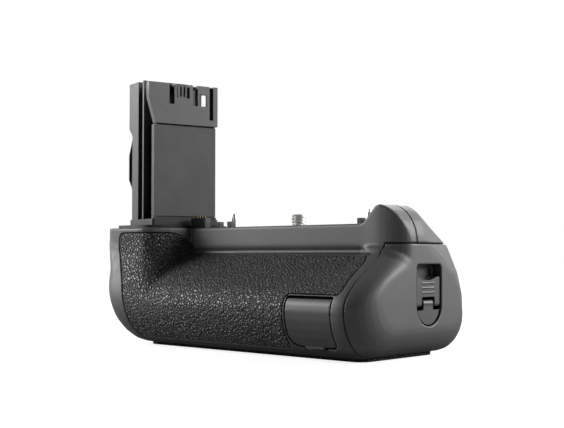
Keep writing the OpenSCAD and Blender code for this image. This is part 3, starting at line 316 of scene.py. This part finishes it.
# The rubber's grain, in pebbles: how often and how far its creases sway
SWAY_RATE = 0.7
SWAY_REACH = 0.9
PEBBLE_DEPTH = 0.85 * MM
RUBBER_CLOUD_SCALE = 70
# Painted shade in the grain's creases and painted highlight on its crowns
CREASE_SHADE_TONE = 0.1
CROWN_HIGHLIGHT_TONE = 1.9
RUBBER_CLOUD_TONE = 1.5
# Painted highlight on the rubber's edges
RUBBER_EDGE_HIGHLIGHT_TONE = 2.2
CREASE_ROUGHNESS = 0.72
CROWN_POLISH = 0.36


def grained_rubber(name, colour):
    """Rubber with a pebbled leather grain, dull and with painted shade in the creases, and a
    painted highlight on the crowns and edges
    """
    paint = Paint(name)
    pebble = sizes().pebble
    sway = paint.noise(SWAY_RATE / pebble, detail=2.0, rough=0.5, output=1)
    centred = paint.vector_maths("SUBTRACT", {0: sway, 1: (0.5, 0.5, 0.5)})
    offset = paint.vector_maths("SCALE", {0: centred, "Scale": SWAY_REACH * pebble})
    warped = paint.vector_maths("ADD", {0: paint.place(), 1: offset})
    crease = paint.node("ShaderNodeTexVoronoi", {"feature": "DISTANCE_TO_EDGE"},
                        {"Vector": warped, "Scale": 1 / pebble})
    cell = paint.node("ShaderNodeTexVoronoi", {"feature": "SMOOTH_F1"},
                      {"Vector": warped, "Scale": 1 / pebble, "Smoothness": 0.5})
    crown = paint.ramp(crease, 0.02, 0.26)
    height = crown * 0.75 + (1 - cell) * 0.25 + paint.noise(4 / pebble, detail=2.0) * 0.1
    cloud = paint.noise(RUBBER_CLOUD_SCALE)
    # Painted shade in the creases, painted highlight on the crowns
    base = paint.between(crown, shade(colour, CREASE_SHADE_TONE), shade(colour, CROWN_HIGHLIGHT_TONE))
    base = paint.between(paint.clouds(cloud) * 0.3, base, shade(colour, RUBBER_CLOUD_TONE))
    # Painted highlight on the rubber's edges
    base = paint.between(paint.edges() * 0.25, base, shade(colour, RUBBER_EDGE_HIGHLIGHT_TONE))
    dull = CREASE_ROUGHNESS - crown * CROWN_POLISH + (cloud - 0.5) * 0.1
    return paint.output(paint.principled(Base_Color=base, Roughness=dull, Specular_IOR_Level=0.55,
                                         Normal=paint.bump(height, PEBBLE_DEPTH, 1.0)))


# Rings of turned metal are drawn out across Z
RING_STRETCH = 0.15, 0.15, 1
RING_DEPTH = 0.01 * MM
RING_TONE = 1.15
TARNISH_SCALE = 420
TARNISH_TONE = 0.6


def turned_metal(name, colour, rough, ring_scale=3600, metal=1.0):
    """Turned and plated metal with fine rings along Z and light tarnish"""
    paint = Paint(name)
    stretched = paint.node("ShaderNodeMapping", inputs={"Vector": paint.place(),
                                                        "Scale": RING_STRETCH})
    ring = paint.noise(ring_scale, rough=0.6, vector=stretched)
    tarnish = paint.noise(TARNISH_SCALE, detail=4.0)
    tarnished = paint.ramp(tarnish, 0.45, 0.75) * 0.45
    base = paint.between(tarnished, shade(colour), shade(colour, TARNISH_TONE))
    base = paint.between(paint.ramp(ring, 0.35, 0.7) * 0.3, base, shade(colour, RING_TONE))
    dull = rough + (ring - 0.5) * 0.2 + (tarnish - 0.5) * 0.15
    return paint.output(paint.principled(Base_Color=base, Metallic=metal, Roughness=dull,
                                         Normal=paint.bump(ring, RING_DEPTH, 0.4)))


TRACK_SCALE = 260
TRACK_DEPTH = 0.03 * MM
TRACK_TONE = 2.1
LACQUER_CLOUD_SCALE = 300
LACQUER_TONES = 0.85, 1.15


def lacquered_board(name, colour):
    """Circuit board with tracks under green lacquer"""
    paint = Paint(name)
    tracks = paint.node("ShaderNodeTexBrick", {"offset": 0.37, "squash": 1.0},
                        {"Vector": paint.place(), "Scale": TRACK_SCALE, "Mortar Size": 0.06,
                         "Mortar Smooth": 0.2, "Brick Width": 1.3, "Row Height": 0.35}, 1)
    cloud = paint.noise(LACQUER_CLOUD_SCALE)
    base = paint.between(paint.clouds(cloud), *(shade(colour, tone) for tone in LACQUER_TONES))
    base = paint.between(tracks * 0.6, base, shade(colour, TRACK_TONE))
    return paint.output(paint.principled(Base_Color=base, Roughness=0.3 + cloud * 0.12,
                                         Normal=paint.bump(tracks, TRACK_DEPTH, 0.5)))


FINISHES = {
    "shell": lambda tint: moulded("sprayed plastic", tint.shell, rough=0.52, gloss=0.5,
                                  lip_shade=lip_shade_box()),
    "rubber": lambda tint: grained_rubber("pebbled rubber", tint.rubber),
    "deck": lambda tint: moulded("deck plastic", tint.deck, rough=0.55, grain=1.2),
    "stem": lambda tint: moulded("stem plastic", tint.stem, rough=0.45, grain=0.9),
    "head": lambda tint: moulded("head plastic", tint.head, rough=0.42, grain=0.9),
    "panel": lambda tint: moulded("panel sheet", tint.panel, rough=0.62, grain=0.6,
                                  depth=0.02 * MM, wear=0.2, gloss=0.3),
    "chassis": lambda tint: moulded("frame plastic", tint.chassis, grain=2.0),
    "tray": lambda tint: moulded("tray plastic", tint.tray, rough=0.42, grain=2.0,
                                 depth=0.02 * MM),
    "control": lambda tint: moulded("control plastic", tint.control, rough=0.42, grain=0.7,
                                    depth=0.02 * MM, wear=0.45),
    "catch": lambda tint: moulded("catch plastic", tint.catch, rough=0.35, depth=0.01 * MM),
    "steel": lambda tint: turned_metal("bright steel", tint.steel, rough=0.4, metal=0.7),
    "pin": lambda tint: turned_metal("dull pin", tint.pin, rough=0.5),
    "contact": lambda tint: turned_metal("plated contact", tint.contact, rough=0.24,
                                         ring_scale=2800),
    "board": lambda tint: lacquered_board("lacquered board", tint.board),
}
made_finishes = {}


def finish(look):
    """The material of a slot or look, made once"""
    if look not in made_finishes:
        made_finishes[look] = FINISHES[look](colours())
    return made_finishes[look]


# Modelling helpers ---------------------------------------------------------------------------

# Points nearer than this are one point
WELD = 0.002 * MM
# Faces that turn by less than this are one face
FLAT = math.radians(0.4)
# Edges that turn by more than this stay crisp in a skin
SHARP = math.radians(35)
# Edges that turn by more than this get a rounding
ROUNDED = math.radians(32)
# Edges that turn by more than these break the shading of moulded and of turned pieces
CREASED = math.radians(34)
TURNED = math.radians(40)


def frame_mount(name):
    return next(mount for mount in frame["record"]["mounts"] if mount["name"] == name)


def select_only(piece):
    if bpy.context.mode != "OBJECT":
        bpy.ops.object.mode_set(mode="OBJECT")
    bpy.ops.object.select_all(action="DESELECT")
    piece.select_set(True)
    bpy.context.view_layer.objects.active = piece


def merged_copy(node, flat_angle=None):
    """A copy of a node's mesh with its loose triangles joined, and its flat faces made whole"""
    piece = bpy.data.objects.new(f"{node}_dressed", frame["nodes"][node].data.copy())
    bpy.context.scene.collection.objects.link(piece)
    select_only(piece)
    bpy.ops.object.mode_set(mode="EDIT")
    bpy.ops.mesh.select_all(action="SELECT")
    bpy.ops.mesh.customdata_custom_splitnormals_clear()
    bpy.ops.mesh.remove_doubles(threshold=WELD)
    if flat_angle is not None:
        bpy.ops.mesh.dissolve_limited(angle_limit=flat_angle)
    bpy.ops.object.mode_set(mode="OBJECT")
    return piece


def apply_modifier(piece, name, kind, **settings):
    modifier = piece.modifiers.new(name, kind)
    for key, value in settings.items():
        setattr(modifier, key, value)
    select_only(piece)
    bpy.ops.object.modifier_apply(modifier=modifier.name)


def settle(piece, node, look=None):
    """The piece stands for the node, on its body and in its slot, and may have a look of its own"""
    slot = SLOT_OF[node]
    piece.data.materials.clear()
    piece.data.materials.append(finish(look or slot))
    for face in piece.data.polygons:
        face.material_index = 0
    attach(piece, BODY_OF[node])
    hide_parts(node)


def sharp_points(mesh, spacing):
    """Tree of points along the mesh's sharp edges"""
    form = bmesh.new()
    form.from_mesh(mesh)
    points = []
    for edge in form.edges:
        if len(edge.link_faces) != 2 or edge.calc_face_angle() > SHARP:
            count = max(1, math.ceil(edge.calc_length() / spacing))
            start, end = (vertex.co for vertex in edge.verts)
            points += [start.lerp(end, i / count) for i in range(count + 1)]
    form.free()
    tree = KDTree(len(points))
    for i, point in enumerate(points):
        tree.insert(point, i)
    tree.balance()
    return tree


def even_skin(node, step, passes, shrink=0.0):
    """A moulded form as an even skin, its facets smoothed away and its edges lightly eased

    A shrunk skin stands back a little, so that the parting line round it shows.
    """
    piece = merged_copy(node)
    edges = sharp_points(piece.data, step)
    apply_modifier(piece, "Even skin", "REMESH", mode="VOXEL", voxel_size=step, adaptivity=0)
    faces = piece.vertex_groups.new(name="faces")
    for vertex in piece.data.vertices:
        away = edges.find(vertex.co)[2] / sizes().edge_reach
        faces.add([vertex.index], min(1.0, away * away), "REPLACE")
    apply_modifier(piece, "Smooth faces", "SMOOTH", factor=0.5, iterations=passes,
                   vertex_group=faces.name)
    apply_modifier(piece, "Eased edges", "SMOOTH", factor=0.5, iterations=1)
    if shrink:
        apply_modifier(piece, "Parting line", "DISPLACE", strength=-shrink, mid_level=0.0)
    triangles = sum(len(face.vertices) - 2 for face in piece.data.polygons)
    if triangles > sizes().skin_limit:
        apply_modifier(piece, "Lighter skin", "DECIMATE", ratio=sizes().skin_limit / triangles)
    select_only(piece)
    bpy.ops.object.shade_smooth()
    settle(piece, node)


def eased(node, width, segments=2, look=None):
    """A sharp-edged node with its edges rounded"""
    piece = merged_copy(node, FLAT)
    apply_modifier(piece, "Rounded edges", "BEVEL", width=width, segments=segments,
                   limit_method="ANGLE", angle_limit=ROUNDED, use_clamp_overlap=True,
                   miter_outer="MITER_ARC", loop_slide=False)
    select_only(piece)
    bpy.ops.object.shade_smooth_by_angle(angle=CREASED)
    apply_modifier(piece, "Even shading", "WEIGHTED_NORMAL", keep_sharp=True)
    settle(piece, node, look)


def wrapped_grid(name, z0, z1, radius_at, around=48, row=0.08 * MM):
    """A grid wrapped round Z into a turned piece, radius_at(z, turn) from turn 0 to 1"""
    rows = max(2, round((z1 - z0) / row))
    bpy.ops.object.select_all(action="DESELECT")
    bpy.ops.mesh.primitive_grid_add(x_subdivisions=around, y_subdivisions=rows, size=1)
    piece = bpy.context.object
    piece.name = name
    for vertex in piece.data.vertices:
        turn = vertex.co.x + 0.5
        z = z0 + (vertex.co.y + 0.5) * (z1 - z0)
        r = radius_at(z, turn)
        vertex.co = (r * math.cos(math.tau * turn), r * math.sin(math.tau * turn), z)
    bpy.ops.object.mode_set(mode="EDIT")
    bpy.ops.mesh.select_all(action="SELECT")
    bpy.ops.mesh.remove_doubles(threshold=WELD)
    bpy.ops.object.mode_set(mode="OBJECT")
    return piece


def close_ends(piece):
    """Fill the open rims and turn all faces outwards"""
    select_only(piece)
    bpy.ops.object.mode_set(mode="EDIT")
    bpy.ops.mesh.select_mode(type="EDGE")
    bpy.ops.mesh.select_all(action="DESELECT")
    bpy.ops.mesh.select_non_manifold()
    bpy.ops.mesh.fill_holes(sides=0)
    bpy.ops.mesh.select_all(action="SELECT")
    bpy.ops.mesh.normals_make_consistent(inside=False)
    bpy.ops.object.mode_set(mode="OBJECT")
    bpy.ops.object.shade_smooth_by_angle(angle=TURNED)


def bound(value):
    return min(1, max(0, value))


def flank(z, turn, pitch, flat=0.12):
    """Height on a thread's flank, from 0 at the flat root to 1 at the flat crest"""
    wave = abs(((z / pitch - turn) % 1) - 0.5) * 2
    return bound((wave - flat) / (1 - 2 * flat))


# Studio --------------------------------------------------------------------------------------

FLOOR_SIDE = 8
# The floor's glow and the shadow on it, by distance from the middle
GLOW_RANGE = 0.1, 0.4
NEAR_GLOW = 0.84, 0.84, 0.84, 1
SHADOW_RANGE = 0.06, 0.45
WHITE = 1, 1, 1, 1
ROOM_COLOUR = 0.9, 0.95, 1, 1
ROOM_LIGHT = 0.1
# Level direction from the camera to the backdrop
BACKDROP_WAY = -0.682, 0.731, 0
UP = 0, 0, 1
LIGHT_AIM = Vector((0, -0.01, 0.04))
# Place, size and power of each lamp
SOFTBOXES = {
    "key_softbox": ((-0.8, -0.5, 0.42), (0.5, 0.45), 11.5),
    "right_softbox": ((0.64, 0.6, 0.46), (0.6, 0.5), 13.5),
    "rear_softbox": ((-0.3, 0.72, 0.58), (0.5, 0.35), 3.5),
}
# Camera that gives the photograph's view: sensor and lens in millimetres, place in metres
SENSOR = 36
LENS = 64.98
CAMERA_PLACE = 0.2816, -0.3123, 0.0379
CAMERA_TURN = math.radians(92.306), 0, math.radians(43)


def seen_directly(paint, in_gloss):
    """1 for rays from the camera or through glass, in_gloss for rays in gloss"""
    camera, gloss, glass = (paint.node("ShaderNodeLightPath", output=name)
                            for name in ("Is Camera Ray", "Is Glossy Ray", "Is Transmission Ray"))
    return paint.maths("MAXIMUM", camera, paint.maths("MAXIMUM", gloss * in_gloss, glass))


def floor_finish():
    """Pale floor that keeps the shadow and fades into a white background"""
    paint = Paint("studio floor")
    speck = paint.noise(40, detail=2.0)
    tone = paint.between(speck * 0.1, shade(colours().floor), shade(colours().floor, 0.96))
    away = paint.vector_maths("LENGTH", {0: paint.place()}, "Value")
    glow = paint.between(paint.ramp(away, *GLOW_RANGE), NEAR_GLOW, WHITE)
    matte = paint.principled(Base_Color=tone, Roughness=0.9, Specular_IOR_Level=0.0)
    bright = paint.principled(Base_Color=tone, Roughness=0.9, Specular_IOR_Level=0.0,
                              Emission_Color=glow, Emission_Strength=1.0)
    unshaded = paint.ramp(away, *SHADOW_RANGE, 0.05, 1.0)
    return paint.output(paint.node("ShaderNodeMixShader", inputs={
        0: seen_directly(paint, unshaded), 1: matte, 2: bright}))


def studio_world(scene):
    """White to the camera, a white backdrop and a dim room in gloss, dim light on the object"""
    scene.world = bpy.data.worlds.new("studio")
    paint = Paint("studio", scene.world)
    way = paint.node("ShaderNodeTexCoord", output="Generated")
    backward, upward = (paint.vector_maths("DOT_PRODUCT", {0: way, 1: axis}, "Value")
                        for axis in (BACKDROP_WAY, UP))
    backdrop = (paint.ramp(backward, -0.35, 0.4, 0.15, 1.0)
                * paint.ramp(upward, 0.25, 0.65, 1.0, 0.25))
    white, dim = (paint.node("ShaderNodeBackground", inputs={"Color": tone, "Strength": strength})
                  for tone, strength in ((WHITE, 1.0), (ROOM_COLOUR, ROOM_LIGHT)))
    sky = paint.node("ShaderNodeMixShader", inputs={
        0: seen_directly(paint, backdrop), 1: dim, 2: white})
    paint.output(sky, "ShaderNodeOutputWorld")


def softbox(name, place, size, power):
    """A soft rectangular lamp aimed at the middle of the grip"""
    lamp = bpy.data.lights.new(name, "AREA")
    lamp.shape = "RECTANGLE"
    lamp.size, lamp.size_y = size
    lamp.energy = power
    holder = bpy.data.objects.new(name, lamp)
    holder.location = place
    aim = LIGHT_AIM - Vector(place)
    holder.rotation_euler = aim.to_track_quat("-Z", "Y").to_euler()
    bpy.context.scene.collection.objects.link(holder)


def photo_camera(scene):
    """The camera, set up as for the photograph"""
    camera = bpy.data.cameras.new("photo_camera")
    camera.sensor_width = SENSOR
    camera.lens = LENS
    viewer = bpy.data.objects.new("photo_camera", camera)
    viewer.location = CAMERA_PLACE
    viewer.rotation_euler = CAMERA_TURN
    scene.collection.objects.link(viewer)
    scene.camera = viewer


# Operators -----------------------------------------------------------------------------------

class GripOperator:
    """Shared settings of the grip's operators"""
    bl_options = {"REGISTER", "UNDO"}


class GRIP_OT_shells(GripOperator, bpy.types.Operator):
    """Skin the two shells and the magazine's end cap"""
    bl_idname = "grip.shells"
    bl_label = "Shells and End Cap"

    def execute(self, context):
        even_skin("front_shell", sizes().skin_step, sizes().skin_passes)
        even_skin("rear_shell", sizes().skin_step, sizes().skin_passes)
        even_skin("magazine_cap", sizes().cap_step, sizes().skin_passes)
        return {"FINISHED"}


class GRIP_OT_rubber(GripOperator, bpy.types.Operator):
    """Skin the grained rubber and the base pad"""
    bl_idname = "grip.rubber"
    bl_label = "Rubber"

    def execute(self, context):
        for node in ("grip_rubber", "thumb_rubber"):
            even_skin(node, sizes().rubber_step, sizes().rubber_passes, sizes().rubber_parting)
        even_skin("base_pad", sizes().skin_step, sizes().pad_passes)
        return {"FINISHED"}


class GRIP_OT_cord_cover(GripOperator, bpy.types.Operator):
    """Skin the flap over the cord hole and finish its hinge pin"""
    bl_idname = "grip.cord_cover"
    bl_label = "Cord Cover"

    def execute(self, context):
        even_skin("cord_cover", sizes().cover_step, sizes().skin_passes, sizes().parting)
        eased("cord_cover_pin", sizes().fine_round)
        return {"FINISHED"}


class GRIP_OT_stem(GripOperator, bpy.types.Operator):
    """Round the stem's plinth, column, panel, head, contacts and clip"""
    bl_idname = "grip.stem"
    bl_label = "Stem"

    def execute(self, context):
        for node in ("stem_plinth", "stem_column", "stem_panel", "stem_clip"):
            eased(node, sizes().edge_round)
        eased("stem_head", sizes().edge_round, look="head")
        eased("stem_contacts", sizes().fine_round)
        return {"FINISHED"}


class GRIP_OT_deck(GripOperator, bpy.types.Operator):
    """Round the deck with its lugs, pins, contacts and screws"""
    bl_idname = "grip.deck"
    bl_label = "Deck"

    def execute(self, context):
        for node in ("deck_plate", "deck_lugs", "contact_block", "locating_pins"):
            eased(node, sizes().edge_round)
        eased("deck_screws", sizes().fine_round)
        eased("signal_pins", sizes().fine_round, look="pin")
        return {"FINISHED"}


class GRIP_OT_clamp(GripOperator, bpy.types.Operator):
    """Cut the camera screw's thread and round the thumbwheel, bush and bracket"""
    bl_idname = "grip.clamp"
    bl_label = "Clamp"

    def execute(self, context):
        low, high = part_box("clamp_screw")
        deck_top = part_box("deck_plate")[1].z
        shank = (high.x - low.x) / 2
        major = frame_mount("camera_screw")["dims"]["r_mm"] * MM
        pitch, depth = sizes().thread_pitch, sizes().thread_depth
        relief = 0.5 * MM
        tip = 0.75 * MM
        tip_slope = 1.1

        def screw_radius(z, turn):
            if z < deck_top:
                return shank
            run_in = bound((z - deck_top - relief) / pitch)
            threaded = major - depth + depth * flank(z, turn, pitch) * run_in
            return min(threaded, major - max(0, z - high.z + tip) * tip_slope)

        screw = wrapped_grid("clamp_screw_dressed", low.z, high.z, screw_radius)
        close_ends(screw)
        settle(screw, "clamp_screw")
        eased("thumbwheel", sizes().edge_round)
        eased("clamp_bush", sizes().fine_round)
        eased("wheel_bracket", sizes().edge_round)
        return {"FINISHED"}


class GRIP_OT_base(GripOperator, bpy.types.Operator):
    """Finish the tripod socket with its thread, and the base screws"""
    bl_idname = "grip.base"
    bl_label = "Base"

    def execute(self, context):
        eased("tripod_socket", sizes().fine_round)
        eased("base_screws", sizes().fine_round)
        mount = frame_mount("tripod_socket")["dims"]
        bore = mount["r_mm"] * MM
        pitch, depth = sizes().thread_pitch, sizes().socket_depth
        lead = 0.4 * MM
        top = mount["length_mm"] * MM - 0.1 * MM
        clear = 0.01 * MM

        def socket_radius(z, turn):
            return bore - clear - depth * flank(z, turn, pitch) * bound(z / pitch)

        lining = wrapped_grid("socket_thread", lead, top, socket_radius)
        apply_modifier(lining, "Wall", "SOLIDIFY", thickness=2 * clear, offset=0)
        select_only(lining)
        bpy.ops.object.shade_smooth_by_angle(angle=TURNED)
        lining.data.materials.append(finish("steel"))
        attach(lining, BODY_OF["tripod_socket"])
        return {"FINISHED"}


class GRIP_OT_magazine(GripOperator, bpy.types.Operator):
    """Round the battery tray, its contacts and catches, and the bay that takes it"""
    bl_idname = "grip.magazine"
    bl_label = "Magazine"

    def execute(self, context):
        for node in ("magazine_tray", "magazine_bay"):
            eased(node, sizes().edge_round)
        for node in ("tray_contacts", "bay_contacts", "battery_catch_1", "battery_catch_2"):
            eased(node, sizes().fine_round)
        return {"FINISHED"}


class GRIP_OT_lock(GripOperator, bpy.types.Operator):
    """Skin the lock's lever and its half-round block, and round its pin"""
    bl_idname = "grip.lock"
    bl_label = "Lock"

    def execute(self, context):
        for node in ("lock_lever", "lock_block"):
            even_skin(node, sizes().lever_step, sizes().lever_passes, sizes().lever_gap)
        eased("lever_pin", sizes().fine_round)
        return {"FINISHED"}


class GRIP_OT_controls(GripOperator, bpy.types.Operator):
    """Round the release button, the dial, the thumb buttons, the power switch and their boards"""
    bl_idname = "grip.controls"
    bl_label = "Controls"

    def execute(self, context):
        for node in ("release_ring", "release_button", "focus_button", "lock_button",
                     "start_button"):
            eased(node, sizes().edge_round, segments=3)
        for node in ("command_dial", "power_switch", "release_switch", "dial_bracket"):
            eased(node, sizes().control_round)
        for node in ("dial_axle", "button_keys", "button_board", "control_board"):
            eased(node, sizes().fine_round)
        return {"FINISHED"}


class GRIP_OT_stage(GripOperator, bpy.types.Operator):
    """Set the floor, the studio light and the camera"""
    bl_idname = "grip.stage"
    bl_label = "Stage"

    def execute(self, context):
        bpy.ops.object.select_all(action="DESELECT")
        bpy.ops.mesh.primitive_plane_add(size=FLOOR_SIDE)
        floor = context.object
        floor.name = "studio_floor"
        floor.data.materials.append(floor_finish())
        studio_world(context.scene)
        for name, settings in SOFTBOXES.items():
            softbox(name, *settings)
        photo_camera(context.scene)
        context.scene.view_settings.view_transform = "Standard"
        return {"FINISHED"}


class GRIP_PT_sidebar(bpy.types.Panel):
    """Lists the grip's operators and properties"""
    bl_label = "Battery Grip"
    bl_idname = "GRIP_PT_sidebar"
    bl_space_type = "VIEW_3D"
    bl_region_type = "UI"
    bl_category = "Grip"

    def draw(self, context):
        for operator in OPERATORS:
            self.layout.operator(operator.bl_idname)
        for group in (context.scene.grip_sizes, context.scene.grip_colours):
            box = self.layout.box()
            for name in group.__annotations__:
                box.prop(group, name)


OPERATORS = (GRIP_OT_shells, GRIP_OT_rubber, GRIP_OT_cord_cover, GRIP_OT_stem, GRIP_OT_deck,
             GRIP_OT_clamp, GRIP_OT_base, GRIP_OT_magazine, GRIP_OT_lock, GRIP_OT_controls,
             GRIP_OT_stage)
CLASSES = (GripColours, GripSizes, *OPERATORS, GRIP_PT_sidebar)


def register():
    for item in CLASSES:
        bpy.utils.register_class(item)
    bpy.types.Scene.grip_colours = PointerProperty(type=GripColours)
    bpy.types.Scene.grip_sizes = PointerProperty(type=GripSizes)


def unregister():
    del bpy.types.Scene.grip_sizes
    del bpy.types.Scene.grip_colours
    for item in reversed(CLASSES):
        bpy.utils.unregister_class(item)


def main():
    register()
    for operator in OPERATORS:
        group, name = operator.bl_idname.split(".")
        getattr(getattr(bpy.ops, group), name)()


if __name__ == "__main__":
    main()
